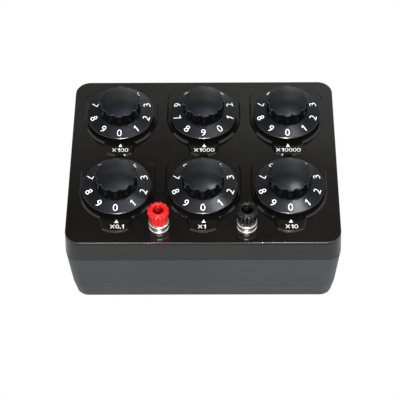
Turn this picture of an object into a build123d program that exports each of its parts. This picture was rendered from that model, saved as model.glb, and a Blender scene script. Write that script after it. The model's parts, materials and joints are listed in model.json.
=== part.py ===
from build123d import *
from math import atan2, copysign, cos, degrees, hypot, radians, sin
import os

# A six-dial resistance decade box, in millimetres. It stands on its rubber feet at z = 0, with the middle of
# the case on the z axis and the binding posts towards -y. Its front row of dials is x0.1, x1 and x10, and its
# back row is x100, x1000 and x10000. Heights that start at the panel's top face are added to PANEL_Z.

# Case
PANEL_WIDTH = 180.0
PANEL_DEPTH = 138.5
CASE_HEIGHT = 66.0
CORNER_RADIUS = 10.0
COVER_HEIGHT = 18.0
COVER_FLARE = 1.1
COVER_WALL = 2.4
PANEL_THICKNESS = 3.0
PANEL_EDGE_RADIUS = 0.5
GROOVE_DROP = 1.3
GROOVE_HEIGHT = 0.6
GROOVE_DEPTH = 0.5
SEAM_GAP = 0.6
BASE_STEP = 0.3
BASE_CORNER_RADIUS = 8.6
BASE_DRAFT = 1.7
BASE_WALL = 3.2
BASE_FLOOR = 2.6
BAND_HEIGHT = 13.0
BAND_LEAN = 1.5
BASE_EDGE_RADIUS = 1.0
TONGUE_HEIGHT = 3.0
TONGUE_CLEARANCE = 0.15

# Feet and the screws that hold the cover on the base
FOOT_RADIUS = 6.0
FOOT_DROP = 1.5
FOOT_RECESS = 1.0
FOOT_CLEARANCE = 0.1
FOOT_SPREAD_X = 66.0
FOOT_SPREAD_Y = 46.0
BOSS_INSET = 9.5
COVER_BOSS_RADIUS = 4.5
BASE_BOSS_RADIUS = 5.2
BOSS_WEB = 3.0
RIB_THICKNESS = 1.6
RIB_DROP = 9.0
SCREW_RADIUS = 1.5
SCREW_LENGTH = 14.0
SCREW_CLEARANCE = 0.3
SCREW_HEAD_RADIUS = 3.0
SCREW_HEAD_HEIGHT = 2.2
SCREW_WELL_RADIUS = 3.7
SCREW_SLOT_WIDTH = 0.9
SCREW_SLOT_DEPTH = 1.0

# Dials and the raised escutcheon round each
SIDE_MARGIN = 7.4
DIAL_GAP = 6.4
BACK_ROW_INSET = 33.25
FRONT_ROW_SHARE = 0.3141
ESCUTCHEON_BACK_INSET = 0.4
ESCUTCHEON_CORNER = 9.0
ESCUTCHEON_HEIGHT = 1.5
ESCUTCHEON_BEVEL = 1.1
TAB_NECK_INSET = 2.4
TAB_NECK_HALF = 11.2
TAB_END_REACH = 6.6
TAB_END_HALF = 8.9
TAB_NOSE_REACH = 9.0

# Knob
SKIRT_RADIUS = 23.2
SKIRT_RIM_Z = 6.3
SKIRT_RIM_HEIGHT = 1.3
SKIRT_WALL = 1.5
GRIP_RADIUS = 14.0
GRIP_FOOT_Z = 8.5
GRIP_TOP_Z = 18.2
CROWN_Z = 20.2
GRIP_WALL = 1.3
GRIP_EDGE_CUT = 0.4
FLUTE_COUNT = 12
FLUTE_RADIUS = 2.3
FLUTE_DEPTH = 1.1
HUB_RADIUS = 5.2
SHAFT_SEAT_DEPTH = 10.4
CROWN_THICKNESS = 2.6

# Bush, nut and index plate
BUSH_RADIUS = 4.7
BUSH_HOLE_CLEARANCE = 0.05
BUSH_FLANGE_RADIUS = 7.5
BUSH_FLANGE_HEIGHT = 2.0
BUSH_END_Z = 5.0
NUT_FLATS = 14.0
NUT_HEIGHT = 2.4
WASHER_RADIUS = 8.0
WASHER_HEIGHT = 0.6
PLATE_THICKNESS = 1.2
PLATE_RADIUS = 21.0

# Shaft, star wheel and wiper
SHAFT_RADIUS = 3.0
RUNNING_CLEARANCE = 0.05
KEY_CLEARANCE = 0.02
SHAFT_FLAT = 2.4
SHAFT_HUB_GAP = 0.4
COLLAR_RADIUS = 4.4
COLLAR_HEIGHT = 3.2
END_PLAY = 0.1
STAR_HEIGHT = 2.0
STAR_RADIUS = 11.0
STAR_NOTCH_RADIUS = 2.2
STAR_NOTCH_DEPTH = 0.6
POSITIONS = 10
WIPER_HUB_RADIUS = 6.4
WIPER_HUB_HEIGHT = 2.6
WIPER_WIDTH = 3.4
WIPER_THICKNESS = 0.6
WIPER_TIP_INSET = 0.2
JOURNAL_RADIUS = 2.5
JOURNAL_DROP = 1.5

# Switch deck with its contacts, pillars and detent
DECK_RADIUS = 22.5
DECK_THICKNESS = 2.0
EAR_REACH = 27.0
EAR_WIDTH = 8.0
EAR_ANGLE = 30.0
PILLAR_REACH = 23.5
PILLAR_FLATS = 4.6
DECK_SCREW_RADIUS = 1.2
DECK_SCREW_HEAD_FLATS = 4.0
DECK_SCREW_HEAD_HEIGHT = 1.4
DECK_SCREW_GRIP = 5.0
CONTACT_CIRCLE = 13.0
CONTACT_FLATS = 4.0
CONTACT_HEIGHT = 0.8
RING_RADIUS = 8.6
RING_BORE_CLEARANCE = 1.6
LUG_WIDTH = 2.6
LUG_THICKNESS = 0.8
LUG_CIRCLE = 19.0
LUG_DROP = 3.2
DETENT_WIDTH = 2.6
DETENT_THICKNESS = 0.5
DETENT_ARM = 14.0
DETENT_OVERHANG = 3.0
ROLLER_RADIUS = 2.0
ROLLER_CLEARANCE = 0.12

# Resistors and link wires
RESISTOR_RADIUS = 1.8
RESISTOR_LENGTH = 6.4
RESISTOR_SIDES = 8
LEAD_WIDTH = 0.6
LEAD_CLEARANCE = 0.1
WIRE_RADIUS = 0.9
WIRE_SIDES = 6
WIRE_BEND = 5.0
WIRE_DROP = 8.0
WIRE_LAYER = 2.6
WIRE_CLEARANCE = 0.1

# Binding posts
POST_INSET = 13.25
STUD_RADIUS = 3.0
SOCKET_RADIUS = 2.0
STUD_TOP_Z = 13.0
SOCKET_DEPTH = 11.0
STUD_TAIL = 16.0
WIRE_HOLE_RADIUS = 1.2
FLANGE_RADIUS = 7.05
FLANGE_HEIGHT = 2.3
NECK_RADIUS = 5.4
NECK_HEIGHT = 1.7
FLANGE_EDGE_RADIUS = 1.1
CLAMP_RING_EDGE_RADIUS = 1.0
RING_Z_GAP = 0.1
CLAMP_RING_RADIUS = 6.95
CLAMP_RING_HEIGHT = 2.85
INSERT_RADIUS = 4.6
INSERT_HEIGHT = 5.5
CAP_TOP_Z = 19.0
CAP_FOOT_RADIUS = 6.4
CAP_RADIUS = 7.2
CAP_SHOULDER_DROP = 0.9
CAP_SHOULDER_CUT = 0.5
CAP_DISH = 0.35
CAP_LIP = 0.8
CAP_LIP_SLOPE = 0.5
PLUG_HOLE_RADIUS = 3.5
CAP_FLUTES = 12
CAP_FLUTE_RADIUS = 1.0
CAP_FLUTE_DEPTH = 0.9
POST_WASHER_RADIUS = 6.0
POST_WASHER_HEIGHT = 1.2
POST_NUT_FLATS = 10.0
POST_NUT_HEIGHT = 3.0
POST_LUG_RADIUS = 4.6
POST_LUG_REACH = 11.0

# Places and heights that follow from the sizes above
DIAL_PITCH_X = (PANEL_WIDTH - 2 * SIDE_MARGIN + DIAL_GAP) / 3
ESCUTCHEON_RADIUS = (DIAL_PITCH_X - DIAL_GAP) / 2
ESCUTCHEON_BACK = ESCUTCHEON_RADIUS - ESCUTCHEON_BACK_INSET
POST_SPREAD_X = DIAL_PITCH_X / 2
POST_Y = POST_INSET - PANEL_DEPTH / 2
BACK_ROW_Y = PANEL_DEPTH / 2 - BACK_ROW_INSET
FRONT_ROW_Y = POST_Y + FRONT_ROW_SHARE * (BACK_ROW_Y - POST_Y)
PANEL_Z = FOOT_DROP + CASE_HEIGHT
SEAM_Z = PANEL_Z - COVER_HEIGHT
BASE_TOP_Z = SEAM_Z - SEAM_GAP
PANEL_UNDER_Z = PANEL_Z - PANEL_THICKNESS
SEAT_Z = PANEL_Z + ESCUTCHEON_HEIGHT
PLATE_UNDER_Z = PANEL_UNDER_Z - PLATE_THICKNESS
BUSH_UNDER_Z = PLATE_UNDER_Z - BUSH_FLANGE_HEIGHT
COLLAR_TOP_Z = BUSH_UNDER_Z - END_PLAY
STAR_TOP_Z = COLLAR_TOP_Z - COLLAR_HEIGHT
STAR_UNDER_Z = STAR_TOP_Z - STAR_HEIGHT
HUB_UNDER_Z = STAR_UNDER_Z - WIPER_HUB_HEIGHT
CONTACT_TOP_Z = HUB_UNDER_Z - END_PLAY
DECK_TOP_Z = CONTACT_TOP_Z - CONTACT_HEIGHT
DECK_UNDER_Z = DECK_TOP_Z - DECK_THICKNESS
LUG_UNDER_Z = DECK_UNDER_Z - LUG_DROP
STEP_ANGLE = 360.0 / POSITIONS

DIALS = {
    "x01": (-DIAL_PITCH_X, FRONT_ROW_Y),
    "x1": (0.0, FRONT_ROW_Y),
    "x10": (DIAL_PITCH_X, FRONT_ROW_Y),
    "x100": (-DIAL_PITCH_X, BACK_ROW_Y),
    "x1000": (0.0, BACK_ROW_Y),
    "x10000": (DIAL_PITCH_X, BACK_ROW_Y),
}
DIAL_AT_NINE = "x1000"
POSTS = {"red": (-POST_SPREAD_X, POST_Y), "black": (POST_SPREAD_X, POST_Y)}
UP = (Align.CENTER, Align.CENTER, Align.MIN)
DOWN = (Align.CENTER, Align.CENTER, Align.MAX)


def write(node, shape):
    """Write one node's solids, which are the shape's own or a list of shapes, to its file."""
    if isinstance(shape, list):
        shape = Compound(children=[solid for item in shape for solid in item.solids()])
    shape.label = node
    export_step(shape, os.path.join("parts", node + ".step"))


def tapered_block(half_width, half_depth, radius, low_z, high_z, lean):
    """A block with round corners whose sides lean out by lean from the low end to the high end."""
    low = Pos(0, 0, low_z) * RectangleRounded(2 * half_width, 2 * half_depth, radius)
    high = Pos(0, 0, high_z) * RectangleRounded(2 * (half_width + lean), 2 * (half_depth + lean), radius)
    return loft([low, high], ruled=True)


def ring(radius, bore, low_z, high_z):
    """A flat ring, or a disc where the bore is nothing, between two heights."""
    body = Pos(0, 0, low_z) * Cylinder(radius, high_z - low_z, align=UP)
    if bore:
        body -= Pos(0, 0, low_z) * Cylinder(bore, high_z - low_z, align=UP)
    return body


def polar(radius, angle):
    """The place at a radius and at an angle from the front, which grows towards the right."""
    return radius * sin(radians(angle)), -radius * cos(radians(angle))


def half_sizes(inset, z):
    """Half the width and half the depth of the cover's outside at a height, less an inset."""
    lean = COVER_FLARE * (PANEL_Z - z) / COVER_HEIGHT
    return PANEL_WIDTH / 2 + lean - inset, PANEL_DEPTH / 2 + lean - inset


def boss_places():
    """The four corner bosses, which stand at the same places in the cover and the base."""
    x, y = half_sizes(COVER_WALL + BOSS_INSET, SEAM_Z)
    return [(x, y), (-x, y), (-x, -y), (x, -y)]


def escutcheon():
    """The raised platform round a dial: round in front, square behind, with a tab for the multiplier."""
    behind = Pos(0, ESCUTCHEON_BACK / 2) * Rectangle(2 * ESCUTCHEON_RADIUS, ESCUTCHEON_BACK)
    rounded = RectangleRounded(2 * ESCUTCHEON_RADIUS, 2 * ESCUTCHEON_BACK, ESCUTCHEON_CORNER)
    neck_y = ESCUTCHEON_RADIUS - TAB_NECK_INSET
    end_y = ESCUTCHEON_RADIUS + TAB_END_REACH
    nose_y = ESCUTCHEON_RADIUS + TAB_NOSE_REACH
    with BuildSketch() as tab:
        with BuildLine():
            Polyline((-TAB_END_HALF, -end_y), (-TAB_NECK_HALF, -neck_y), (-TAB_NECK_HALF, 0),
                     (TAB_NECK_HALF, 0), (TAB_NECK_HALF, -neck_y), (TAB_END_HALF, -end_y))
            ThreePointArc((TAB_END_HALF, -end_y), (0, -nose_y), (-TAB_END_HALF, -end_y))
        make_face()
    outline = Circle(ESCUTCHEON_RADIUS) + (behind & rounded) + tab.sketch
    block = extrude(outline, ESCUTCHEON_HEIGHT)
    top_edges = block.faces().sort_by(Axis.Z)[-1].edges()
    return chamfer(top_edges, ESCUTCHEON_BEVEL)


def make_upper_cover():
    """The cover: a panel with leaning sides, open below, with six escutcheons and four bosses."""
    low_x, low_y = half_sizes(0, SEAM_Z)
    cover = tapered_block(low_x, low_y, CORNER_RADIUS, SEAM_Z, PANEL_Z, -COVER_FLARE)
    cover = fillet(cover.faces().sort_by(Axis.Z)[-1].edges(), PANEL_EDGE_RADIUS)
    groove_z = PANEL_Z - GROOVE_DROP - GROOVE_HEIGHT
    groove_x, groove_y = half_sizes(GROOVE_DEPTH, groove_z)
    groove = Rectangle(2 * low_x, 2 * low_y) - RectangleRounded(
        2 * groove_x, 2 * groove_y, CORNER_RADIUS - GROOVE_DEPTH)
    cover -= Pos(0, 0, groove_z) * extrude(groove, GROOVE_HEIGHT)
    cover -= tapered_block(low_x - COVER_WALL, low_y - COVER_WALL, CORNER_RADIUS - COVER_WALL,
                           SEAM_Z, PANEL_UNDER_Z, -COVER_FLARE)
    platform = escutcheon()
    for x, y in DIALS.values():
        cover += Pos(x, y, PANEL_Z) * platform
    for x, y in DIALS.values():
        cover -= Pos(x, y, PANEL_UNDER_Z) * Cylinder(
            BUSH_RADIUS + BUSH_HOLE_CLEARANCE, PANEL_THICKNESS + ESCUTCHEON_HEIGHT, align=UP)
    for x, y in POSTS.values():
        cover -= Pos(x, y, PANEL_UNDER_Z) * Cylinder(STUD_RADIUS + RUNNING_CLEARANCE, PANEL_THICKNESS, align=UP)
    for x, y in boss_places():
        cover += Pos(x, y, SEAM_Z) * Cylinder(COVER_BOSS_RADIUS, PANEL_UNDER_Z - SEAM_Z, align=UP)
    for x, y in boss_places():
        cover -= Pos(x, y, SEAM_Z) * Cylinder(SCREW_RADIUS, SCREW_LENGTH - BOSS_WEB, align=UP)
    return cover


def base_block(inset):
    """The base's outside, less an inset: drafted sides above a lower band that leans in more."""
    top_x, top_y = half_sizes(BASE_STEP + inset, SEAM_Z)
    band_z = FOOT_DROP + BAND_HEIGHT
    band_x, band_y = top_x - BASE_DRAFT, top_y - BASE_DRAFT
    radius = BASE_CORNER_RADIUS - inset
    sides = tapered_block(band_x, band_y, radius, band_z, BASE_TOP_Z, BASE_DRAFT)
    return sides + tapered_block(band_x - BAND_LEAN, band_y - BAND_LEAN, radius, FOOT_DROP, band_z, BAND_LEAN)


def base_tongue():
    """The thin rim on the base's top that enters the cover."""
    low_x, low_y = half_sizes(COVER_WALL + TONGUE_CLEARANCE, BASE_TOP_Z)
    high_x, high_y = half_sizes(COVER_WALL + TONGUE_CLEARANCE, SEAM_Z + TONGUE_HEIGHT)
    hollow_x, hollow_y = half_sizes(BASE_STEP + BASE_WALL, SEAM_Z)
    outer_radius = CORNER_RADIUS - COVER_WALL - TONGUE_CLEARANCE
    rim = loft([Pos(0, 0, BASE_TOP_Z) * RectangleRounded(2 * low_x, 2 * low_y, outer_radius),
                Pos(0, 0, SEAM_Z + TONGUE_HEIGHT) * RectangleRounded(2 * high_x, 2 * high_y, outer_radius)],
               ruled=True)
    hollow = RectangleRounded(2 * hollow_x, 2 * hollow_y, BASE_CORNER_RADIUS - BASE_WALL)
    return rim - Pos(0, 0, BASE_TOP_Z) * extrude(hollow, TONGUE_HEIGHT + SEAM_GAP)


def make_base_case():
    """The base: a tub with drafted sides, a tongue that enters the cover, and a well for each screw."""
    outside = base_block(0)
    outside = fillet(outside.faces().sort_by(Axis.Z)[0].edges(), BASE_EDGE_RADIUS)
    floor_z = FOOT_DROP + BASE_FLOOR
    half_width, half_depth = half_sizes(0, SEAM_Z)
    above_floor = Pos(0, 0, floor_z) * Box(2 * half_width, 2 * half_depth, CASE_HEIGHT, align=UP)
    base = outside - (base_block(BASE_WALL) & above_floor)
    rib_height = BASE_TOP_Z - RIB_DROP - floor_z
    for x, y in boss_places():
        outward_x, outward_y = copysign(half_width, x), copysign(half_depth, y)
        side_rib = Pos(x + outward_x / 2, y, floor_z) * Box(half_width, RIB_THICKNESS, rib_height, align=UP)
        end_rib = Pos(x, y + outward_y / 2, floor_z) * Box(RIB_THICKNESS, half_depth, rib_height, align=UP)
        base += (side_rib & outside) + (end_rib & outside)
        base += Pos(x, y, floor_z) * Cylinder(BASE_BOSS_RADIUS, SEAM_Z - floor_z, align=UP)
    for x, y in boss_places():
        base -= Pos(x, y, FOOT_DROP) * Cylinder(SCREW_WELL_RADIUS, SEAM_Z - BOSS_WEB - FOOT_DROP, align=UP)
        base -= Pos(x, y, SEAM_Z) * Cylinder(SCREW_RADIUS + SCREW_CLEARANCE, BOSS_WEB, align=DOWN)
    for x, y in foot_places():
        base -= Pos(x, y, FOOT_DROP) * Cylinder(FOOT_RADIUS + FOOT_CLEARANCE, FOOT_RECESS, align=UP)
    return base + base_tongue()


def foot_places():
    """The middles of the four feet."""
    return [(x, y) for x in (-FOOT_SPREAD_X, FOOT_SPREAD_X) for y in (-FOOT_SPREAD_Y, FOOT_SPREAD_Y)]


def make_rubber_feet():
    """Four round feet, each stuck in its recess in the base."""
    foot = Cylinder(FOOT_RADIUS, FOOT_DROP + FOOT_RECESS, align=UP)
    foot = chamfer(foot.edges().sort_by(Axis.Z)[0], FOOT_DROP / 3)
    return [Pos(x, y, 0) * foot for x, y in foot_places()]


def make_case_screws():
    """Four slotted screws that pull the cover's bosses down on the base's."""
    head_z = SEAM_Z - BOSS_WEB
    screw = Pos(0, 0, head_z) * Cylinder(SCREW_RADIUS, SCREW_LENGTH, align=UP)
    screw += Pos(0, 0, head_z) * Cylinder(SCREW_HEAD_RADIUS, SCREW_HEAD_HEIGHT, align=DOWN)
    screw -= Pos(0, 0, head_z - SCREW_HEAD_HEIGHT) * Box(
        2 * SCREW_HEAD_RADIUS, SCREW_SLOT_WIDTH, SCREW_SLOT_DEPTH, align=UP)
    return [Pos(x, y, 0) * screw for x, y in boss_places()]


def shaft_section(clearance):
    """The shaft's round with one flat, made larger by a clearance."""
    radius = SHAFT_RADIUS + clearance
    cut = Pos(0, SHAFT_FLAT + clearance) * Rectangle(2 * radius, radius, align=(Align.CENTER, Align.MIN))
    return Circle(radius) - cut


def make_knob():
    """A knob with a fluted grip, a crowned top and a conical skirt for the digits, hollow underneath."""
    rim_low = SKIRT_RIM_Z - SKIRT_RIM_HEIGHT
    lip = SKIRT_RIM_HEIGHT / 4
    hub_z = BUSH_END_Z + SHAFT_HUB_GAP
    cavity_radius = GRIP_RADIUS - FLUTE_DEPTH - GRIP_WALL
    slope = (GRIP_FOOT_Z - SKIRT_RIM_Z) / (SKIRT_RADIUS - GRIP_RADIUS)
    under_z = rim_low + slope * (SKIRT_RADIUS - cavity_radius)
    roof_z = GRIP_TOP_Z - CROWN_THICKNESS + (CROWN_Z - GRIP_TOP_Z) / 2
    with BuildPart() as knob:
        with BuildSketch(Plane.XZ):
            with BuildLine():
                ThreePointArc((0, CROWN_Z), (GRIP_RADIUS / 2, GRIP_TOP_Z + 0.76 * (CROWN_Z - GRIP_TOP_Z)),
                              (GRIP_RADIUS, GRIP_TOP_Z))
                Polyline((GRIP_RADIUS, GRIP_TOP_Z), (GRIP_RADIUS, GRIP_FOOT_Z),
                         (SKIRT_RADIUS - lip, SKIRT_RIM_Z), (SKIRT_RADIUS, SKIRT_RIM_Z - lip),
                         (SKIRT_RADIUS, rim_low + lip), (SKIRT_RADIUS - lip, rim_low))
                Polyline((SKIRT_RADIUS - lip, rim_low), (SKIRT_RADIUS - SKIRT_WALL, rim_low),
                         (cavity_radius, under_z), (cavity_radius, roof_z), (HUB_RADIUS, roof_z),
                         (HUB_RADIUS, hub_z), (0, hub_z), (0, CROWN_Z))
            make_face()
        revolve(axis=Axis.Z)
    body = knob.part
    flute = Pos(GRIP_RADIUS - FLUTE_DEPTH + FLUTE_RADIUS, 0, GRIP_FOOT_Z) * Cylinder(
        FLUTE_RADIUS, CROWN_Z - GRIP_FOOT_Z, align=UP)
    for index in range(FLUTE_COUNT):
        body -= Rot(0, 0, 360.0 * (index + 0.5) / FLUTE_COUNT - 90) * flute
    crown_edges = body.edges().filter_by(lambda edge: edge.center().Z > (GRIP_TOP_Z + GRIP_FOOT_Z) / 2
                                         and hypot(edge.center().X, edge.center().Y) > GRIP_RADIUS / 2
                                         and edge.geom_type != GeomType.LINE)
    body = chamfer(crown_edges, GRIP_EDGE_CUT)
    return body - Pos(0, 0, hub_z) * extrude(shaft_section(KEY_CLEARANCE), SHAFT_SEAT_DEPTH)


def make_shaft():
    """A dial's shaft: a keyed journal with a collar under the bush and a thin end in the deck."""
    top_z = PANEL_Z + BUSH_END_Z + SHAFT_HUB_GAP + SHAFT_SEAT_DEPTH - KEY_CLEARANCE
    flat_start_z = PANEL_Z + BUSH_END_Z + SHAFT_HUB_GAP
    shaft = Pos(0, 0, flat_start_z) * extrude(shaft_section(0), top_z - flat_start_z)
    shaft += Pos(0, 0, COLLAR_TOP_Z) * Cylinder(SHAFT_RADIUS, flat_start_z - COLLAR_TOP_Z, align=UP)
    shaft += Pos(0, 0, COLLAR_TOP_Z) * Cylinder(COLLAR_RADIUS, COLLAR_HEIGHT, align=DOWN)
    shaft += Pos(0, 0, HUB_UNDER_Z) * extrude(shaft_section(0), STAR_TOP_Z - HUB_UNDER_Z)
    journal_end = DECK_UNDER_Z - JOURNAL_DROP
    return shaft + Pos(0, 0, journal_end) * Cylinder(JOURNAL_RADIUS, HUB_UNDER_Z - journal_end, align=UP)


def make_star_wheel():
    """The star wheel, with a notch for the detent roller at each of the dial's positions."""
    outline = Circle(STAR_RADIUS) - shaft_section(KEY_CLEARANCE)
    for index in range(POSITIONS):
        x, y = polar(STAR_RADIUS - STAR_NOTCH_DEPTH + STAR_NOTCH_RADIUS, 180 + index * STEP_ANGLE)
        outline -= Pos(x, y) * Circle(STAR_NOTCH_RADIUS)
    return Pos(0, 0, STAR_UNDER_Z) * extrude(outline, STAR_HEIGHT)


def make_wiper():
    """The wiper: a hub that runs on the collector ring and an arm whose tip runs over the contacts."""
    hub = Circle(WIPER_HUB_RADIUS) - shaft_section(KEY_CLEARANCE)
    wiper = Pos(0, 0, HUB_UNDER_Z) * extrude(hub, WIPER_HUB_HEIGHT)
    reach = CONTACT_CIRCLE + WIPER_WIDTH / 2
    arm = Pos(0, -reach, HUB_UNDER_Z + WIPER_THICKNESS) * Box(
        WIPER_WIDTH, reach - WIPER_HUB_RADIUS / 2 - SHAFT_RADIUS / 2, WIPER_THICKNESS,
        align=(Align.CENTER, Align.MIN, Align.MIN))
    tip = Pos(0, -CONTACT_CIRCLE, HUB_UNDER_Z) * Cylinder(
        WIPER_WIDTH / 2 - WIPER_TIP_INSET, WIPER_THICKNESS, align=UP)
    return wiper + arm + tip


def make_bush():
    """The threaded bush that carries a dial's shaft, with its flange under the index plate."""
    bush = ring(BUSH_RADIUS, 0, BUSH_UNDER_Z, PANEL_Z + BUSH_END_Z)
    bush += ring(BUSH_FLANGE_RADIUS, 0, BUSH_UNDER_Z, PLATE_UNDER_Z)
    return bush - ring(SHAFT_RADIUS + RUNNING_CLEARANCE, 0, BUSH_UNDER_Z, PANEL_Z + BUSH_END_Z)


def make_bush_washer():
    """The washer between the escutcheon and the nut."""
    return ring(WASHER_RADIUS, BUSH_RADIUS + BUSH_HOLE_CLEARANCE, SEAT_Z, SEAT_Z + WASHER_HEIGHT)


def hex_nut(flats, bore, low_z, height):
    """A plain hexagon nut."""
    outline = RegularPolygon(flats / 2, 6, major_radius=False) - Circle(bore)
    return Pos(0, 0, low_z) * extrude(outline, height)


def ear_plate(radius, hole, low_z, thickness):
    """A round plate with an ear on each side, as the index plate and the deck both are."""
    outline = Circle(radius) + Rot(0, 0, EAR_ANGLE) * SlotOverall(2 * EAR_REACH, EAR_WIDTH) - Circle(hole)
    return Pos(0, 0, low_z) * extrude(outline, thickness)


def make_detent_spring():
    """A bent spring strip: a foot under the index plate, a leg down, and an arm behind the roller."""
    back_y = STAR_RADIUS + 2 * ROLLER_RADIUS + 2 * ROLLER_CLEARANCE
    leg = Pos(-DETENT_ARM, back_y, STAR_UNDER_Z) * Box(
        DETENT_WIDTH, DETENT_THICKNESS, PLATE_UNDER_Z - STAR_UNDER_Z, align=(Align.MIN,) * 3)
    arm = Pos(-DETENT_ARM, back_y, STAR_UNDER_Z) * Box(
        DETENT_ARM + DETENT_OVERHANG, DETENT_THICKNESS, STAR_HEIGHT, align=(Align.MIN,) * 3)
    foot = Pos(-DETENT_ARM, back_y, PLATE_UNDER_Z) * Box(
        DETENT_WIDTH, DETENT_WIDTH, DETENT_THICKNESS, align=(Align.MIN, Align.MAX, Align.MAX))
    return leg + arm + foot


def make_detent_roller():
    """The detent roller, drawn lifted: over a notch, and just clear of the star wheel's tips."""
    y = STAR_RADIUS + ROLLER_RADIUS + ROLLER_CLEARANCE
    return Pos(0, y, STAR_UNDER_Z) * Cylinder(ROLLER_RADIUS, STAR_HEIGHT, align=UP)


def at_ears(piece):
    """A piece at both ears."""
    return [Rot(0, 0, EAR_ANGLE + side) * (Pos(PILLAR_REACH, 0, 0) * piece) for side in (0, 180)]


def make_pillars():
    """The two hexagonal pillars between a dial's index plate and its deck, with a screw hole in each."""
    height = PLATE_UNDER_Z - DECK_TOP_Z
    pillar = Pos(0, 0, DECK_TOP_Z) * extrude(RegularPolygon(PILLAR_FLATS / 2, 6, major_radius=False), height)
    pillar -= Pos(0, 0, DECK_TOP_Z) * Cylinder(DECK_SCREW_RADIUS, DECK_SCREW_GRIP, align=UP)
    return at_ears(pillar)


def make_deck_screws():
    """The two screws that hold a deck to its pillars."""
    screw = Pos(0, 0, DECK_UNDER_Z) * Cylinder(DECK_SCREW_RADIUS, DECK_THICKNESS + DECK_SCREW_GRIP, align=UP)
    head = RegularPolygon(DECK_SCREW_HEAD_FLATS / 2, 6, major_radius=False)
    screw += Pos(0, 0, DECK_UNDER_Z) * extrude(head, -DECK_SCREW_HEAD_HEIGHT)
    return at_ears(screw)


def make_deck():
    """The insulating deck, with a hole for the shaft's end and for each screw."""
    deck = ear_plate(DECK_RADIUS, JOURNAL_RADIUS + RUNNING_CLEARANCE, DECK_UNDER_Z, DECK_THICKNESS)
    for hole in at_ears(Pos(0, 0, DECK_UNDER_Z) * Cylinder(DECK_SCREW_RADIUS, DECK_THICKNESS, align=UP)):
        deck -= hole
    return deck


def lug(angle, inner, outer):
    """A solder lug under the deck at an angle: a strip outwards that ends in a tab bent down."""
    strip = Pos(0, -outer, DECK_UNDER_Z) * Box(
        LUG_WIDTH, outer - inner, LUG_THICKNESS, align=(Align.CENTER, Align.MIN, Align.MAX))
    tab = Pos(0, -outer, DECK_UNDER_Z) * Box(
        LUG_WIDTH, LUG_THICKNESS, LUG_DROP, align=(Align.CENTER, Align.MIN, Align.MAX))
    return Rot(0, 0, angle) * (strip + tab)


def make_contacts():
    """A dial's ten six-sided contacts on the deck, the collector ring inside them, and a lug under each."""
    pieces = []
    outer = LUG_CIRCLE + LUG_THICKNESS / 2
    contact = extrude(RegularPolygon(CONTACT_FLATS / 2, 6, major_radius=False), CONTACT_HEIGHT)
    for index in range(POSITIONS):
        x, y = polar(CONTACT_CIRCLE, index * STEP_ANGLE)
        pieces.append(Pos(x, y, DECK_TOP_Z) * contact)
        pieces.append(lug(index * STEP_ANGLE, CONTACT_CIRCLE - LUG_WIDTH / 2, outer))
    pieces.append(ring(RING_RADIUS, JOURNAL_RADIUS + RING_BORE_CLEARANCE, DECK_TOP_Z, CONTACT_TOP_Z))
    pieces.append(lug(-STEP_ANGLE / 2, RING_RADIUS - LUG_WIDTH, outer))
    return pieces


def make_resistors():
    """Nine eight-sided resistors, each soldered between the lugs of two neighbouring positions."""
    half_step = radians(STEP_ANGLE / 2)
    tab_half = LUG_WIDTH / 2 * cos(half_step) + LUG_THICKNESS / 2 * sin(half_step)
    reach = LUG_CIRCLE * sin(half_step) - tab_half - LEAD_CLEARANCE
    middle = LUG_CIRCLE * cos(half_step)
    z = DECK_UNDER_Z - RESISTOR_RADIUS - LEAD_CLEARANCE
    body = Rot(0, 90, 0) * extrude(RegularPolygon(RESISTOR_RADIUS, RESISTOR_SIDES), RESISTOR_LENGTH / 2, both=True)
    body += Box(2 * reach, LEAD_WIDTH, LEAD_WIDTH)
    body = Pos(0, -middle, z) * body
    return [Rot(0, 0, (index + 0.5) * STEP_ANGLE) * body for index in range(POSITIONS - 1)]


def make_stud():
    """A post's stud: a flange and neck on the panel, a socket from the top, and a tail below the panel."""
    neck_z = FLANGE_HEIGHT + NECK_HEIGHT
    flange = Cylinder(FLANGE_RADIUS, FLANGE_HEIGHT, align=UP)
    flange = fillet(flange.edges().sort_by(Axis.Z)[-1], FLANGE_EDGE_RADIUS)
    stud = flange + Cylinder(NECK_RADIUS, neck_z, align=UP)
    stud += Pos(0, 0, STUD_TOP_Z) * Cylinder(STUD_RADIUS, STUD_TOP_Z + PANEL_THICKNESS + STUD_TAIL, align=DOWN)
    stud -= Pos(0, 0, STUD_TOP_Z) * Cylinder(SOCKET_RADIUS, SOCKET_DEPTH, align=DOWN)
    hole_z = neck_z + RING_Z_GAP + WIRE_HOLE_RADIUS
    stud -= Pos(0, 0, hole_z) * (Rot(0, 90, 0) * Cylinder(WIRE_HOLE_RADIUS, 4 * STUD_RADIUS))
    return stud


def make_insert():
    """The clamp ring under a cap, in one piece with the threaded sleeve inside the cap."""
    low_z = FLANGE_HEIGHT + NECK_HEIGHT + RING_Z_GAP
    rim = Pos(0, 0, low_z) * Cylinder(CLAMP_RING_RADIUS, CLAMP_RING_HEIGHT, align=UP)
    rim = fillet(rim.edges().filter_by(GeomType.CIRCLE), CLAMP_RING_EDGE_RADIUS)
    sleeve_z = low_z + CLAMP_RING_HEIGHT
    rim += Pos(0, 0, sleeve_z) * Cylinder(INSERT_RADIUS, INSERT_HEIGHT, align=UP)
    return rim - Pos(0, 0, low_z) * Cylinder(
        STUD_RADIUS + RUNNING_CLEARANCE, CLAMP_RING_HEIGHT + INSERT_HEIGHT, align=UP)


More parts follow.
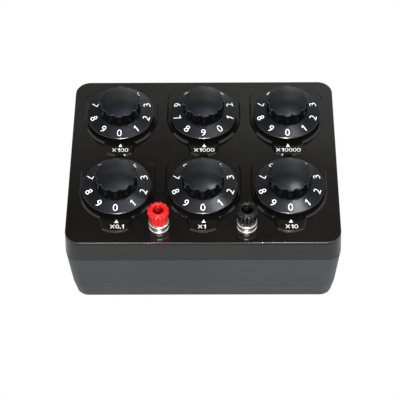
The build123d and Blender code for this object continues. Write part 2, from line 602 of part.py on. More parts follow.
def make_cap():
    """A post's fluted cap: a flat top with a raised lip round the plug hole, above the stud."""
    foot_z = FLANGE_HEIGHT + NECK_HEIGHT + RING_Z_GAP + CLAMP_RING_HEIGHT + RUNNING_CLEARANCE
    web_z = foot_z + INSERT_HEIGHT
    lip_radius = PLUG_HOLE_RADIUS + CAP_LIP
    flat_z = CAP_TOP_Z - CAP_DISH
    bore = INSERT_RADIUS + RUNNING_CLEARANCE
    with BuildPart() as cap:
        with BuildSketch(Plane.XZ):
            with BuildLine():
                Polyline((bore, foot_z), (CAP_FOOT_RADIUS, foot_z), (CAP_RADIUS, CAP_TOP_Z - CAP_SHOULDER_DROP),
                         (CAP_RADIUS - CAP_SHOULDER_CUT, flat_z), (lip_radius + CAP_LIP_SLOPE, flat_z),
                         (lip_radius, CAP_TOP_Z), (PLUG_HOLE_RADIUS, CAP_TOP_Z), (PLUG_HOLE_RADIUS, web_z),
                         (bore, web_z), (bore, foot_z))
            make_face()
        revolve(axis=Axis.Z)
    body = cap.part
    height = CAP_TOP_Z - foot_z
    tilt = degrees(atan2(CAP_RADIUS - CAP_FOOT_RADIUS, height - CAP_SHOULDER_DROP))
    groove = Pos(CAP_FOOT_RADIUS - CAP_FLUTE_DEPTH + CAP_FLUTE_RADIUS, 0, foot_z) * (
        Rot(0, tilt, 0) * Cylinder(CAP_FLUTE_RADIUS, 3 * height))
    for index in range(CAP_FLUTES):
        body -= Rot(0, 0, 360.0 * index / CAP_FLUTES) * groove
    return body


def make_post_washer():
    """The insulating washer under the panel."""
    return ring(POST_WASHER_RADIUS, STUD_RADIUS, PANEL_UNDER_Z - POST_WASHER_HEIGHT, PANEL_UNDER_Z)


def post_lug_z():
    """The top face of a post's solder lug, below the washer and the first nut."""
    return PANEL_UNDER_Z - POST_WASHER_HEIGHT - POST_NUT_HEIGHT


def make_post_nuts():
    """The nut that holds a post and the second nut that holds its lug."""
    first = hex_nut(POST_NUT_FLATS, STUD_RADIUS, post_lug_z(), POST_NUT_HEIGHT)
    second = hex_nut(POST_NUT_FLATS, STUD_RADIUS, post_lug_z() - LUG_THICKNESS - POST_NUT_HEIGHT, POST_NUT_HEIGHT)
    return [first, second]


def make_post_lug():
    """The solder lug between the nuts, with its tail towards the dials."""
    tail = Rectangle(LUG_WIDTH, POST_LUG_REACH, align=(Align.CENTER, Align.MIN))
    outline = Circle(POST_LUG_RADIUS) + tail - Circle(STUD_RADIUS)
    return Pos(0, 0, post_lug_z()) * extrude(outline, -LUG_THICKNESS)


def wire_ends():
    """The upper ends of each link wire, from the red post through the switches to the black post."""
    tab_z = LUG_UNDER_Z - WIRE_CLEARANCE
    ends = []
    for name, (x, y) in DIALS.items():
        ring_x, ring_y = polar(LUG_CIRCLE, -STEP_ANGLE / 2)
        first_x, first_y = polar(LUG_CIRCLE, 0)
        ends.append(((x + ring_x, y + ring_y, tab_z), (x + first_x, y + first_y, tab_z)))
    lug_z = post_lug_z() - LUG_THICKNESS - WIRE_CLEARANCE
    red, black = [(x, y + POST_LUG_REACH - WIRE_RADIUS, lug_z) for x, y in POSTS.values()]
    starts = [red] + [end[1] for end in ends]
    finishes = [end[0] for end in ends] + [black]
    return list(zip(starts, finishes))


def make_link_wires():
    """Seven six-sided insulated wires that hang in a shallow loop from one solder tab to the next."""
    wires = []
    for index, (start, finish) in enumerate(wire_ends()):
        loop_z = LUG_UNDER_Z - WIRE_DROP - index * WIRE_LAYER
        route = FilletPolyline(start, (start[0], start[1], loop_z), (finish[0], finish[1], loop_z), finish,
                               radius=WIRE_BEND)
        section = Plane(origin=start, z_dir=(0, 0, -1)) * RegularPolygon(WIRE_RADIUS, WIRE_SIDES)
        wires.append(sweep(section, path=route))
    return wires


def at_dials(pieces):
    """Copies of a piece, or of a list of pieces, at all six dials."""
    if not isinstance(pieces, list):
        pieces = [pieces]
    return [Pos(x, y, 0) * piece for x, y in DIALS.values() for piece in pieces]


def at_posts(pieces):
    """Copies of a piece, or of a list of pieces, at both posts."""
    if not isinstance(pieces, list):
        pieces = [pieces]
    return [Pos(x, y, 0) * piece for x, y in POSTS.values() for piece in pieces]


def main():
    os.makedirs("parts", exist_ok=True)
    write("upper_cover", make_upper_cover())
    write("base_case", make_base_case())
    write("case_screws", make_case_screws())
    write("rubber_feet", make_rubber_feet())

    write("bushes", at_dials(make_bush()))
    write("bush_washers", at_dials(make_bush_washer()))
    nut = hex_nut(NUT_FLATS, BUSH_RADIUS + BUSH_HOLE_CLEARANCE, SEAT_Z + WASHER_HEIGHT, NUT_HEIGHT)
    write("bush_nuts", at_dials(nut))
    plate = ear_plate(PLATE_RADIUS, BUSH_RADIUS + BUSH_HOLE_CLEARANCE, PLATE_UNDER_Z, PLATE_THICKNESS)
    write("index_plates", at_dials(plate))
    write("detent_springs", at_dials(make_detent_spring()))
    write("detent_rollers", at_dials(make_detent_roller()))
    write("deck_pillars", at_dials(make_pillars()))
    write("deck_screws", at_dials(make_deck_screws()))
    write("switch_decks", at_dials(make_deck()))
    write("switch_contacts", at_dials(make_contacts()))
    resistors = make_resistors()
    knob, shaft, star, wiper = make_knob(), make_shaft(), make_star_wheel(), make_wiper()
    for name, (x, y) in DIALS.items():
        turn = STEP_ANGLE if name == DIAL_AT_NINE else 0
        place = Pos(x, y, 0) * Rot(0, 0, turn)
        write("resistors_" + name, [Pos(x, y, 0) * piece for piece in resistors])
        write("knob_" + name, place * (Pos(0, 0, PANEL_Z) * knob))
        write("shaft_" + name, place * shaft)
        write("star_wheel_" + name, place * star)
        write("wiper_" + name, place * wiper)

    stud, insert, cap = make_stud(), make_insert(), make_cap()
    for colour, (x, y) in POSTS.items():
        write(colour + "_stud", Pos(x, y, PANEL_Z) * stud)
        write(colour + "_insert", Pos(x, y, PANEL_Z) * insert)
        write(colour + "_cap", Pos(x, y, PANEL_Z) * cap)
    write("post_washers", at_posts(make_post_washer()))
    write("post_nuts", at_posts(make_post_nuts()))
    write("post_lugs", at_posts(make_post_lug()))
    write("link_wires", make_link_wires())


main()
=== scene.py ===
import json
import math

import bmesh
import bpy
from mathutils import Matrix, Vector


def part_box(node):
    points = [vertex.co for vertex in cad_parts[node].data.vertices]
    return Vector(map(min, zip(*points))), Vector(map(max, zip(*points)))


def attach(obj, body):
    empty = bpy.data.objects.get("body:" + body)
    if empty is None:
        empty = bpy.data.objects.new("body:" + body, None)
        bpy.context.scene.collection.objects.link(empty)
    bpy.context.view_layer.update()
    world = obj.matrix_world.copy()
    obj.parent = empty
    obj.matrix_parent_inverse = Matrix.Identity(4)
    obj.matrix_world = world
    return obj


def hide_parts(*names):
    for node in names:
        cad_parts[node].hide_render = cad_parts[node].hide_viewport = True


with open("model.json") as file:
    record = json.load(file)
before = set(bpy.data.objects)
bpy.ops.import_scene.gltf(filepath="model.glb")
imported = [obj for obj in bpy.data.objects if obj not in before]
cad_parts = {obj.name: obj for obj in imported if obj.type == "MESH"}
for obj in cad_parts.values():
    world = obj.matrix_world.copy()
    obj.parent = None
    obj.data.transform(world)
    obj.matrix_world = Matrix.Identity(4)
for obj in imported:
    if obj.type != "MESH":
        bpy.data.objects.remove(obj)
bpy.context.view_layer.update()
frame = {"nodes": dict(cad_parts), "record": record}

MM = 0.001
WHITE = (1, 1, 1, 1)


# Places and heights on the object, in millimetres

def middle(node):
    """Where the middle of a CAD node stands over the panel, to a tenth, since facets shift a box a little."""
    low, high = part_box(node)
    return [round((a + b) / 2 / MM, 1) for a, b in zip(low[:2], high[:2])]


DIALS = {name: middle("knob_" + name) for name in ("x01", "x1", "x10", "x100", "x1000", "x10000")}
POSTS = {name: middle(name + "_cap") for name in ("red", "black")}

PANEL_Z = 67.5
TAB_TOP_Z = PANEL_Z + 1.5
PRINT_LIFT = 0.03
# The cover's rounded top edge reaches this far above and below its middle.
EDGE_Z = PANEL_Z - 0.9
EDGE_REACH = 0.8

# Heights on the knobs and posts start at the panel's top face.
SKIRT_RADIUS = 23.2
SKIRT_RIM_Z = 6.3
SKIRT_LIP = 0.325
GRIP_RADIUS = 14.0
GRIP_FOOT_Z = 8.5
GRIP_WALL = (8.6, 17.9)
PLUG_HOLE_METAL_Z = 9.0


# Nodes and materials

def colour(hex_code):
    """Linear colour of an sRGB hex code."""
    parts = [int(hex_code[i:i + 2], 16) / 255 for i in (0, 2, 4)]
    return [p / 12.92 if p <= 0.04045 else ((p + 0.055) / 1.055) ** 2.4 for p in parts] + [1.0]


def add(tree, kind, values=(), **settings):
    """Adds a node with its settings; an input takes a value, or a link where it is given a socket."""
    node = tree.nodes.new(kind)
    for name, value in settings.items():
        setattr(node, name, value)
    for name, value in dict(values).items():
        if isinstance(value, bpy.types.NodeSocket):
            tree.links.new(value, node.inputs[name])
        else:
            node.inputs[name].default_value = value
    return node


def set_stops(ramp, stops):
    """Gives a colour ramp its stops, each a position and a hex code."""
    elements = ramp.color_ramp.elements
    while len(elements) < len(stops):
        elements.new(0.5)
    for element, (position, hex_code) in zip(elements, stops):
        element.position = position
        element.color = colour(hex_code)


def start_material(name, hex_code, roughness, **inputs):
    """A material of one Principled shader, with its tree, the shader and its Object coordinates."""
    made = bpy.data.materials.new(name)
    made.use_nodes = True
    tree = made.node_tree
    shader = tree.nodes["Principled BSDF"]
    shader.inputs["Base Color"].default_value = colour(hex_code)
    shader.inputs["Roughness"].default_value = roughness
    for key, value in inputs.items():
        shader.inputs[key.replace("_", " ")].default_value = value
    place = add(tree, "ShaderNodeTexCoord").outputs["Object"]
    return made, tree, shader, place


# The next three functions take the size of a pattern's features in millimetres. Noise keeps mostly between
# the two values here, and its detail is the number of finer layers on it.

NOISE_LOW, NOISE_HIGH = 0.3, 0.7
FIRST_COLOUR_UP_TO, SECOND_COLOUR_FROM = 0.35, 0.65


def vary_roughness(tree, shader, place, size, low, high):
    """Roughness that wanders between two values."""
    noise = add(tree, "ShaderNodeTexNoise", {"Vector": place, "Scale": 1 / (size * MM), "Detail": 3.0})
    span = add(tree, "ShaderNodeMapRange", {"Value": noise.outputs["Fac"], "From Min": NOISE_LOW,
                                            "From Max": NOISE_HIGH, "To Min": low, "To Max": high})
    tree.links.new(span.outputs["Result"], shader.inputs["Roughness"])


def vary_colour(tree, shader, place, size, first, second, detail=4.0):
    """Base colour that wanders between two colours; returns the colour's socket."""
    noise = add(tree, "ShaderNodeTexNoise", {"Vector": place, "Scale": 1 / (size * MM), "Detail": detail})
    ramp = add(tree, "ShaderNodeValToRGB", {"Fac": noise.outputs["Fac"]})
    set_stops(ramp, [(FIRST_COLOUR_UP_TO, first), (SECOND_COLOUR_FROM, second)])
    tree.links.new(ramp.outputs["Color"], shader.inputs["Base Color"])
    return ramp.outputs["Color"]


def add_grain(tree, shader, place, size, depth):
    """Fine grain in the surface, of a depth in millimetres."""
    noise = add(tree, "ShaderNodeTexNoise", {"Vector": place, "Scale": 1 / (size * MM), "Detail": 2.0})
    bump = add(tree, "ShaderNodeBump", {"Height": noise.outputs["Fac"], "Strength": 0.3,
                                        "Distance": depth * MM})
    tree.links.new(bump.outputs["Normal"], shader.inputs["Normal"])


looks = {}

# Cover: ABS from a polished mould, a deep black gloss in faint waves. Its rounded top edge shines more, and
# pale specks of dust, up to 0.6 mm across, lie in half of the cells of a scattered pattern.
DUST_SPACING = 16.7
DUST_RADIUS = 0.3
DUSTY_SHARE = 0.5
looks["case_plastic"], tree, shader, place = start_material("polished black ABS", "0b0b09", 0.12)
clean = vary_colour(tree, shader, place, 40, "090908", "0f0e0c")
vary_roughness(tree, shader, place, 16.7, 0.06, 0.11)
cells = add(tree, "ShaderNodeTexVoronoi", {"Vector": place, "Scale": 1 / (DUST_SPACING * MM)})
near = add(tree, "ShaderNodeMath", {0: cells.outputs["Distance"], 1: DUST_RADIUS / DUST_SPACING},
           operation="LESS_THAN")
chance = add(tree, "ShaderNodeSeparateColor", {0: cells.outputs["Color"]})
dusty = add(tree, "ShaderNodeMath", {0: chance.outputs[0], 1: DUSTY_SHARE}, operation="LESS_THAN")
speck = add(tree, "ShaderNodeMath", {0: near.outputs[0], 1: dusty.outputs[0]}, operation="MULTIPLY")
dusted = add(tree, "ShaderNodeMix", {0: speck.outputs[0], 6: clean, 7: colour("a8a8a0")}, data_type="RGBA")
tree.links.new(dusted.outputs[2], shader.inputs["Base Color"])
split = add(tree, "ShaderNodeSeparateXYZ", {0: place})
edge = add(tree, "ShaderNodeMath", {0: split.outputs["Z"], 1: EDGE_Z * MM, 2: EDGE_REACH * MM},
           operation="COMPARE")
shine = add(tree, "ShaderNodeMapRange", {"Value": edge.outputs[0], "To Min": 0.5, "To Max": 1.0})
tree.links.new(shine.outputs["Result"], shader.inputs["Specular IOR Level"])

# Base: ABS from an eroded mould, an even satin grey. The grain is coarser than a real one, so that it shows.
looks["base_plastic"], tree, shader, place = start_material("satin black ABS", "252628", 0.42)
vary_colour(tree, shader, place, 71.4, "212224", "28292b", 6.0)
vary_roughness(tree, shader, place, 33.3, 0.38, 0.46)
add_grain(tree, shader, place, 0.385, 0.02)

# Knobs: pressed phenolic, a soft black gloss on skirt and crown. The grip's fluted wall is dull, and its
# colour is darkened there as painted shade.
looks["knob_plastic"], tree, shader, place = start_material("pressed black phenolic", "121315", 0.2)
glossy = vary_colour(tree, shader, place, 16.7, "0e0f11", "131416")
vary_roughness(tree, shader, place, 11.1, 0.17, 0.25)
split = add(tree, "ShaderNodeSeparateXYZ", {0: place})
wall_middle, wall_reach = PANEL_Z + sum(GRIP_WALL) / 2, (GRIP_WALL[1] - GRIP_WALL[0]) / 2
wall = add(tree, "ShaderNodeMath", {0: split.outputs["Z"], 1: wall_middle * MM, 2: wall_reach * MM},
           operation="COMPARE")
shine = add(tree, "ShaderNodeMapRange", {"Value": wall.outputs[0], "To Min": 0.5, "To Max": 0.04})
tree.links.new(shine.outputs["Result"], shader.inputs["Specular IOR Level"])
# Painted shade: the grip's fluted wall gets a darker colour than the rest of the knob.
wall_painted_shade = add(tree, "ShaderNodeMix", {0: wall.outputs[0], 6: glossy, 7: colour("08080a")}, data_type="RGBA")
tree.links.new(wall_painted_shade.outputs[2], shader.inputs["Base Color"])

# Post caps: one moulded in red ABS that glows a little from within, one in black ABS, both glossy.
looks["red_plastic"], tree, shader, place = start_material(
    "moulded red ABS", "c41210", 0.22, Specular_IOR_Level=0.4, Coat_Weight=0.1, Coat_Roughness=0.08,
    Subsurface_Weight=0.35, Subsurface_Scale=0.004)
vary_colour(tree, shader, place, 6.25, "be0f0e", "ca1a15")
looks["black_plastic"], tree, shader, place = start_material(
    "moulded black ABS", "0b0b0b", 0.2, Specular_IOR_Level=0.4)
vary_roughness(tree, shader, place, 6.25, 0.11, 0.17)

# Posts: bright nickel plate. Inside the plug holes it is painted with the colour of the cap around it, as a
# painted reflection: red at the left post and dark grey at the right one.
looks["nickel"], tree, shader, place = start_material("nickel plated brass", "d8d4cc", 0.14, Metallic=1.0)
vary_roughness(tree, shader, place, 4.55, 0.10, 0.2)
split = add(tree, "ShaderNodeSeparateXYZ", {0: place})
inside = add(tree, "ShaderNodeMath", {0: split.outputs["Z"], 1: (PANEL_Z + PLUG_HOLE_METAL_Z) * MM},
             operation="GREATER_THAN")
right_post = add(tree, "ShaderNodeMath", {0: split.outputs["X"], 1: 0.0}, operation="GREATER_THAN")
# Painted reflection: the metal inside each plug hole takes the colour of its cap.
hole_painted_reflection = add(tree, "ShaderNodeMix", {0: right_post.outputs[0], 6: colour("ff5a50"), 7: colour("504e4e")},
           data_type="RGBA")
plate = add(tree, "ShaderNodeMix", {0: inside.outputs[0], 6: colour("d8d4cc"), 7: hole_painted_reflection.outputs[2]},
            data_type="RGBA")
tree.links.new(plate.outputs[2], shader.inputs["Base Color"])

# Bushes, nuts, pillars, wipers and contacts: turned brass, warm and half bright.
looks["brass"], tree, shader, place = start_material("turned brass", "c8a15a", 0.3, Metallic=1.0)
vary_roughness(tree, shader, place, 5, 0.24, 0.36)

# Shafts, wheels, plates, springs and screws: zinc plated steel, cool and mottled.
looks["steel"], tree, shader, place = start_material("zinc plated steel", "b8b9ba", 0.35, Metallic=1.0)
vary_colour(tree, shader, place, 3.33, "aeb0b2", "c2c2c0")

# Switch decks and the posts' washers: phenolic laminate, brown and mottled by its paper.
looks["phenolic"], tree, shader, place = start_material("phenolic laminate", "6a4424", 0.5)
vary_colour(tree, shader, place, 2.86, "603c1e", "744c2a")

# Resistors: dipped lacquer, pale blue with an uneven gloss.
looks["resistor_body"], tree, shader, place = start_material("dipped resistor lacquer", "7ba7c4", 0.35)
vary_roughness(tree, shader, place, 3.33, 0.3, 0.42)

# Link wires: extruded PVC, plain red.
looks["wire_insulation"], tree, shader, place = start_material("extruded red PVC", "b4201c", 0.4)
vary_roughness(tree, shader, place, 3.33, 0.36, 0.46)

# Feet: moulded rubber, dull and grained. The grain is coarser than a real one, so that it shows.
looks["rubber"], tree, shader, place = start_material("moulded rubber", "1c1c1c", 0.8)
add_grain(tree, shader, place, 0.667, 0.05)

# Digits, multipliers and triangles: pad printed ink, matt white.
looks["print_white"], tree, shader, place = start_material("pad printed white ink", "f6f6f4", 0.45)
vary_roughness(tree, shader, place, 1.11, 0.4, 0.55)

for entry in frame["record"]["subparts"]:
    node = frame["nodes"][entry["node"]]
    node.data.materials.clear()
    node.data.materials.append(looks[entry["material_slot"]])


# Signs. Each is a flat mesh in millimetres round its middle.

def outline_sign(points):
    """A sign inside one outline."""
    bm = bmesh.new()
    bm.faces.new([bm.verts.new((x, y, 0)) for x, y in points])
    sign = bpy.data.meshes.new("sign")
    bm.to_mesh(sign)
    bm.free()
    return sign


def font_sign(text, height, width, weight=-0.008):
    """A sign of the built-in font, drawn to a height and a width."""
    curve = bpy.data.curves.new("lettering", "FONT")
    curve.body = text
    curve.resolution_u = 4
    curve.offset = weight
    holder = bpy.data.objects.new("lettering", curve)
    bpy.context.scene.collection.objects.link(holder)
    bpy.context.view_layer.update()
    sign = bpy.data.meshes.new_from_object(holder)
    bpy.data.objects.remove(holder)
    bpy.data.curves.remove(curve)
    across, up = ([vert.co[axis] for vert in sign.vertices] for axis in (0, 1))
    low, high = Vector((min(across), min(up), 0)), Vector((max(across), max(up), 0))
    drawn = Matrix.Diagonal((width / (high - low).x, height / (high - low).y, 1, 1))
    sign.transform(drawn @ Matrix.Translation(-(low + high) / 2))
    return sign


def figure_one(height, width, stroke):
    """A 1 with a flag and no foot."""
    top, side = height / 2, width / 2
    stem, shoulder = side - stroke, side - 0.7 * stroke
    flag_top, flag_foot, flag_root = top - 0.22 * height, top - 0.37 * height, top - 0.25 * height
    return outline_sign([(side, -top), (side, top), (shoulder, top), (-side, flag_top), (-side, flag_foot),
                         (stem, flag_root), (stem, -top)])


def times_sign(height, width, stroke):
    """A cross of four diagonal arms: each quarter turn has an inner corner and the two corners of an arm."""
    slant = math.atan2(height, width)
    x, y = width / 2, height / 2
    dx, dy = stroke / 2 * math.sin(slant), stroke / 2 * math.cos(slant)
    inner_x, inner_y = stroke / 2 / math.sin(slant), stroke / 2 / math.cos(slant)
    right, top = (inner_x, 0), (0, inner_y)
    left, foot = (-inner_x, 0), (0, -inner_y)
    return outline_sign([right, (x + dx, y - dy), (x - dx, y + dy), top, (dx - x, y + dy), (-x - dx, y - dy),
                         left, (-x - dx, dy - y), (dx - x, -y - dy), foot, (x - dx, -y - dy),
                         (x + dx, dy - y)])


def full_stop(size, height):
    """A square point on the line on which signs of a height stand."""
    half, foot = size / 2, -height / 2
    return outline_sign([(-half, foot), (half, foot), (half, foot + size), (-half, foot + size)])


def put_sign(bm, sign, place):
    """Adds a sign to a bmesh, with each of its points taken to its place by a function."""
    before = len(bm.verts)
    bm.from_mesh(sign)
    bm.verts.ensure_lookup_table()
    for vert in bm.verts[before:]:
        vert.co = place(vert.co.x, vert.co.y)


def finish_piece(name, bm, look, body):
    """A piece in metres from a bmesh in millimetres, which rides on a body."""
    bmesh.ops.scale(bm, vec=(MM, MM, MM), verts=bm.verts)
    mesh = bpy.data.meshes.new(name)
    bm.to_mesh(mesh)
    bm.free()
    mesh.materials.append(looks[look])
    piece = bpy.data.objects.new(name, mesh)
    bpy.context.scene.collection.objects.link(piece)
    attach(piece, body)
    return piece


# Digits, printed round each knob's conical skirt

DIGIT_CIRCLE = 18.9
DIGIT_HEIGHT = 4.9
DIGIT_WIDTH = 3.1
ONE_WIDTH = 1.8
ONE_STROKE = 0.65
DIGIT_STEP = math.radians(36)
FIRST_DIGIT_STEP = {"x1000": 1}

CONE_RADIUS = SKIRT_RADIUS - SKIRT_LIP
CONE_SLOPE = math.atan2(GRIP_FOOT_Z - SKIRT_RIM_Z, CONE_RADIUS - GRIP_RADIUS)

digit_signs = [font_sign(str(digit), DIGIT_HEIGHT, DIGIT_WIDTH) for digit in range(10)]
digit_signs[1] = figure_one(DIGIT_HEIGHT, ONE_WIDTH, ONE_STROKE)


def on_skirt(dial, middle_angle):
    """A function that lays a sign's points on a dial's skirt, round an angle from the front."""
    def place(across, up):
        radius = DIGIT_CIRCLE - up * math.cos(CONE_SLOPE)
        angle = middle_angle + across / DIGIT_CIRCLE
        height = SKIRT_RIM_Z + (CONE_RADIUS - radius) * math.tan(CONE_SLOPE)
        return (dial[0] + radius * math.sin(angle), dial[1] - radius * math.cos(angle),
                PANEL_Z + height + PRINT_LIFT)
    return place


for name, dial in DIALS.items():
    bm = bmesh.new()
    for digit, sign in enumerate(digit_signs):
        put_sign(bm, sign, on_skirt(dial, DIGIT_STEP * (digit + FIRST_DIGIT_STEP.get(name, 0))))
    digits = finish_piece("digits_" + name, bm, "print_white", "dial_" + name)


# Multipliers and index triangles, printed on the tabs in front of the dials

# Each label has its signs, with o for a wide nought. Then come the places of its middle and of its triangle's
# middle, from the middle of its dial.
LABELS = {
    "x01": ("x0.1", (1.3, -30.05), (0.65, -25.9)),
    "x1": ("x1", (-0.6, -30.2), (0.5, -25.9)),
    "x10": ("x1o", (0.6, -30.25), (0.3, -25.9)),
    "x100": ("x1oo", (0.55, -29.3), (0.7, -25.2)),
    "x1000": ("x1ooo", (0.45, -29.4), (0.55, -25.5)),
    "x10000": ("x1oooo", (0.4, -29.5), (0.25, -25.6)),
}
LABEL_HEIGHT = 3.05
SIGN_GAP = 0.3
# Each sign has the width that it takes in a label.
LABEL_SIGNS = {
    "x": (3.3, times_sign(height=2.75, width=2.5, stroke=0.38)),
    "0": (2.4, font_sign("0", LABEL_HEIGHT, width=2.2, weight=-0.01)),
    "o": (2.5, font_sign("0", LABEL_HEIGHT, width=2.45, weight=-0.012)),
    "1": (2.0, figure_one(LABEL_HEIGHT, width=1.4, stroke=0.6)),
    ".": (0.8, full_stop(0.6, LABEL_HEIGHT)),
}
TRIANGLE_HALF_WIDTH = 1.35
TRIANGLE_HEIGHT = 2.5
triangle = outline_sign([(-TRIANGLE_HALF_WIDTH, -TRIANGLE_HEIGHT / 2),
                         (TRIANGLE_HALF_WIDTH, -TRIANGLE_HEIGHT / 2), (0, TRIANGLE_HEIGHT / 2)])


def on_tab(x, y):
    """A function that lays a sign's points on a tab, round a place."""
    return lambda across, up: (x + across, y + up, TAB_TOP_Z + PRINT_LIFT)


bm = bmesh.new()
for name, (text, (label_dx, label_dy), (triangle_dx, triangle_dy)) in LABELS.items():
    x, y = DIALS[name]
    widths = [LABEL_SIGNS[sign][0] for sign in text]
    left = x + label_dx - (sum(widths) + SIGN_GAP * (len(text) - 1)) / 2
    for sign, width in zip(text, widths):
        put_sign(bm, LABEL_SIGNS[sign][1], on_tab(left + width / 2, y + label_dy))
        left += width + SIGN_GAP
    put_sign(bm, triangle, on_tab(x + triangle_dx, y + triangle_dy))
marks = finish_piece("panel_marks", bm, "print_white", "case")


# Caps of the binding posts: rounded lobes under a raised ring round the plug hole

CAP_LOBES = 12
LOBE_STEPS = 12
# Each row is a radius, a height above the panel and how deep the grooves between the lobes are there. The
# rows run up the lobes, over their shoulder and the ring, down the plug hole and down the bore for the post.
CAP_PROFILE = [
    (5.7, 7.0, 0.4), (5.95, 7.25, 0.8), (6.1, 8.5, 1.1), (6.6, 13.0, 1.2), (7.1, 17.0, 1.3),
    (7.12, 17.3, 1.3), (7.0, 17.6, 1.25), (6.7, 17.85, 1.0), (6.3, 18.0, 0.5), (5.9, 18.05, 0.1),
    (5.8, 18.15, 0.0), (5.7, 18.45, 0.0), (5.5, 18.8, 0.0), (5.1, 18.98, 0.0), (4.7, 19.0, 0.0),
    (4.2, 18.93, 0.0), (3.8, 18.7, 0.0), (3.58, 18.4, 0.0), (3.5, 18.0, 0.0),
    (3.5, 12.5, 0.0), (4.65, 12.5, 0.0), (4.65, 7.0, 0.0),
]


def lobed_cap():
    """A cap round the vertical axis: its profile is spun, then grooves are pressed in between the lobes."""
    bm = bmesh.new()
    groove = bm.verts.layers.float.new("groove")
    outline = []
    for radius, height, depth in CAP_PROFILE:
        vert = bm.verts.new((0, -radius, height))
        vert[groove] = depth
        outline.append(vert)
    edges = [bm.edges.new(pair) for pair in zip(outline, outline[1:] + outline[:1])]
    steps = CAP_LOBES * LOBE_STEPS
    bmesh.ops.spin(bm, geom=outline + edges, cent=(0, 0, 0), axis=(0, 0, 1), angle=2 * math.pi, steps=steps,
                   use_merge=True)
    for vert in bm.verts:
        radius = math.hypot(vert.co.x, vert.co.y)
        step = round(math.atan2(vert.co.x, -vert.co.y) / (2 * math.pi) * steps) % steps
        lobe, part = divmod(step, LOBE_STEPS)
        # Points lie closer together towards a lobe's two ends, where it curves in.
        across = -math.cos(math.pi * (part + 0.5) / LOBE_STEPS)
        angle = 2 * math.pi * (lobe + (across + 1) / 2) / CAP_LOBES
        radius -= vert[groove] * (1 - math.sqrt(1 - across * across))
        vert.co = (radius * math.sin(angle), -radius * math.cos(angle), vert.co.z)
    bm.verts.layers.float.remove(groove)
    bmesh.ops.recalc_face_normals(bm, faces=bm.faces)
    # The spin's merge shuffles the faces. Sorting them by their first edge gives the same mesh in every run.
    bm.verts.index_update()
    bm.faces.sort(key=lambda face: face.loops[0].vert.index * len(bm.verts) + face.loops[1].vert.index)
    return bm


for name, (x, y) in POSTS.items():
    bm = lobed_cap()
    bmesh.ops.translate(bm, vec=(x, y, PANEL_Z), verts=bm.verts)
    cap = finish_piece(name + "_cap_lobed", bm, name + "_plastic", name + "_handle")
    cap.data.shade_smooth()
    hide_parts(name + "_cap")


# Floor. The camera sees it white, and the object sees it grey.

FLOOR_REACH = 3.0
FLOOR_GREY = (0.44, 0.44, 0.44, 1)

bm = bmesh.new()
bmesh.ops.create_grid(bm, x_segments=1, y_segments=1, size=FLOOR_REACH)
floor_mesh = bpy.data.meshes.new("floor")
bm.to_mesh(floor_mesh)
bm.free()
floor = bpy.data.objects.new("floor", floor_mesh)
bpy.context.scene.collection.objects.link(floor)

floor_look = bpy.data.materials.new("floor")
floor_look.use_nodes = True
tree = floor_look.node_tree
tree.nodes.clear()
seen = add(tree, "ShaderNodeLightPath").outputs["Is Camera Ray"]
grey = add(tree, "ShaderNodeBsdfDiffuse", {"Color": FLOOR_GREY})
white = add(tree, "ShaderNodeEmission", {"Color": WHITE, "Strength": 1.0})
either = add(tree, "ShaderNodeMixShader", {0: seen, 1: grey.outputs[0], 2: white.outputs[0]})
add(tree, "ShaderNodeOutputMaterial", {"Surface": either.outputs[0]})
floor_mesh.materials.append(floor_look)


# World. The camera sees it white. The object sees a soft room by direction: Z is 1 straight up, X runs to the
# right and Y to the back.

# The room's light by height: pale low down, dark where the panel mirrors it, and pale blue overhead.
ROOM_STOPS = [
    (0.0, "bcbcbc"), (0.42, "aaaaaa"), (0.53, "949494"), (0.66, "8c8c8c"),
    (0.745, "9c9c9c"), (0.77, "888886"), (0.79, "53514e"), (0.81, "4b4946"),
    (0.87, "504f50"), (0.94, "868c96"), (0.985, "bcc6d4"), (1.0, "dce6f4"),
]
DARK_PATCH_X = -0.043

world = bpy.data.worlds.new("studio")
bpy.context.scene.world = world
world.use_nodes = True
tree = world.node_tree
tree.nodes.clear()
direction = add(tree, "ShaderNodeTexCoord").outputs["Generated"]
to_x, to_y, to_z = add(tree, "ShaderNodeSeparateXYZ", {0: direction}).outputs
aside = add(tree, "ShaderNodeMath", {0: to_x}, operation="ABSOLUTE").outputs[0]

# The room's light grows from left to right and fades away from the middle.
across = add(tree, "ShaderNodeMapRange", {"Value": to_x, "From Min": -0.06, "From Max": 0.1,
                                          "To Min": 1.55, "To Max": 3.0})
fading = add(tree, "ShaderNodeMapRange", {"Value": aside, "From Min": 0.15, "From Max": 0.42,
                                          "To Min": 1.0, "To Max": 0.3})
power = add(tree, "ShaderNodeMath", {0: across.outputs[0], 1: fading.outputs[0]}, operation="MULTIPLY")

# A patch of it is half as bright, which the panel mirrors between the left and middle dials.
from_patch = add(tree, "ShaderNodeMath", {0: to_x, 1: DARK_PATCH_X}, operation="SUBTRACT")
patch_reach = add(tree, "ShaderNodeMath", {0: from_patch.outputs[0]}, operation="ABSOLUTE")
patch = add(tree, "ShaderNodeMapRange", {"Value": patch_reach.outputs[0], "From Min": 0.0, "From Max": 0.045,
                                         "To Min": 0.5, "To Max": 0.0})
patch_height = add(tree, "ShaderNodeMapRange", {"Value": to_z, "From Min": 0.762, "From Max": 0.776})
lost = add(tree, "ShaderNodeMath", {0: patch.outputs[0], 1: patch_height.outputs[0]}, operation="MULTIPLY")
left_over = add(tree, "ShaderNodeMath", {0: 1.0, 1: lost.outputs[0]}, operation="SUBTRACT")
dimmed = add(tree, "ShaderNodeMath", {0: power.outputs[0], 1: left_over.outputs[0]}, operation="MULTIPLY")
by_height = add(tree, "ShaderNodeValToRGB", {"Fac": to_z})
set_stops(by_height, ROOM_STOPS)
room = add(tree, "ShaderNodeBackground", {"Color": by_height.outputs["Color"], "Strength": dimmed.outputs[0]})

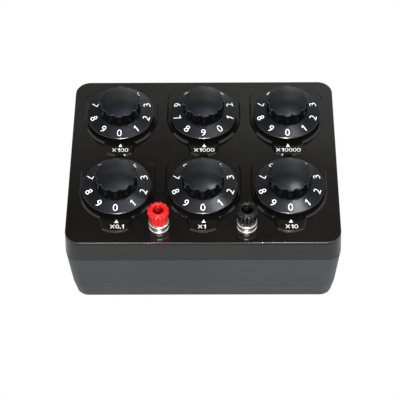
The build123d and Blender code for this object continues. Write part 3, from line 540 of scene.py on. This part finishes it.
# White screens stand in front and at both sides, and are a little brighter from halfway up.
front = add(tree, "ShaderNodeMapRange", {"Value": to_y, "From Min": -0.2, "From Max": -0.55})
beside = add(tree, "ShaderNodeMapRange", {"Value": aside, "From Min": 0.45, "From Max": 0.6})
level_with = add(tree, "ShaderNodeMapRange", {"Value": to_y, "From Min": 0.35, "From Max": 0.15})
sides = add(tree, "ShaderNodeMath", {0: beside.outputs[0], 1: level_with.outputs[0]}, operation="MULTIPLY")
screened = add(tree, "ShaderNodeMath", {0: front.outputs[0], 1: sides.outputs[0]}, operation="MAXIMUM")
strength = add(tree, "ShaderNodeMapRange", {"Value": to_z, "From Min": 0.3, "From Max": 0.5,
                                            "To Min": 1.0, "To Max": 1.1})
screens = add(tree, "ShaderNodeBackground", {"Color": WHITE, "Strength": strength.outputs[0]})
around = add(tree, "ShaderNodeMixShader", {0: screened.outputs[0], 1: room.outputs[0], 2: screens.outputs[0]})

seen = add(tree, "ShaderNodeLightPath").outputs["Is Camera Ray"]
white = add(tree, "ShaderNodeBackground", {"Color": WHITE, "Strength": 1.0})
either = add(tree, "ShaderNodeMixShader", {0: seen, 1: around.outputs[0], 2: white.outputs[0]})
add(tree, "ShaderNodeOutputWorld", {"Surface": either.outputs[0]})


# Lights, with places and sizes in metres and power in watts

def area_light(name, place, target_z, size, power, tint="ffffff"):
    """A rectangular soft light that faces a height on the object's middle line."""
    lamp = bpy.data.lights.new(name, "AREA")
    lamp.shape = "RECTANGLE"
    lamp.size, lamp.size_y = size
    lamp.energy = power
    lamp.color = colour(tint)[:3]
    holder = bpy.data.objects.new(name, lamp)
    holder.location = place
    holder.rotation_euler = (Vector((0, 0, target_z)) - Vector(place)).to_track_quat("-Z", "Y").to_euler()
    bpy.context.scene.collection.objects.link(holder)


area_light("key", (0.0, -0.55, 1.1), 0.06, size=(0.5, 0.3), power=8)
area_light("above_right", (0.165, 0.045, 0.65), 0.06, size=(0.16, 0.12), power=0.5, tint="f6f8ff")
area_light("front", (0.0, -0.85, 0.75), 0.05, size=(0.5, 0.05), power=5.5)
area_light("front_middle", (0.0, -0.84, 0.74), 0.05, size=(0.1, 0.04), power=4)


# Camera, as the photograph's perspective gives it: pixels of its frame, angles in radians and a place in
# millimetres

FRAME_PIXELS = 400
FOCAL_PIXELS = 1358.5368
CENTRE_PIXEL = (202.7681, 199.7035)
TILT, YAW, ROLL = 0.9302601, -0.0215645, 0.0200701
CAMERA_PLACE = (11.38, -571.7344, 721.0523 + PANEL_Z)
SENSOR_WIDTH = 36.0

forward = Vector((math.sin(YAW) * math.cos(TILT), math.cos(YAW) * math.cos(TILT), -math.sin(TILT)))
level = Vector((math.cos(YAW), -math.sin(YAW), 0))
below = forward.cross(level)
right = math.cos(ROLL) * level + math.sin(ROLL) * below
down = math.cos(ROLL) * below - math.sin(ROLL) * level

camera_data = bpy.data.cameras.new("camera")
camera_data.sensor_fit = "HORIZONTAL"
camera_data.sensor_width = SENSOR_WIDTH
camera_data.lens = SENSOR_WIDTH * FOCAL_PIXELS / FRAME_PIXELS
camera_data.shift_x = (FRAME_PIXELS / 2 - CENTRE_PIXEL[0]) / FRAME_PIXELS
camera_data.shift_y = (CENTRE_PIXEL[1] - FRAME_PIXELS / 2) / FRAME_PIXELS
camera_data.clip_start = 0.05
camera_data.clip_end = 20
camera = bpy.data.objects.new("camera", camera_data)
turn = Matrix((right, -down, -forward)).transposed()
camera.matrix_world = Matrix.Translation(Vector(CAMERA_PLACE) * MM) @ turn.to_4x4()
bpy.context.scene.collection.objects.link(camera)
bpy.context.scene.camera = camera

bpy.context.scene.view_settings.view_transform = "Standard"
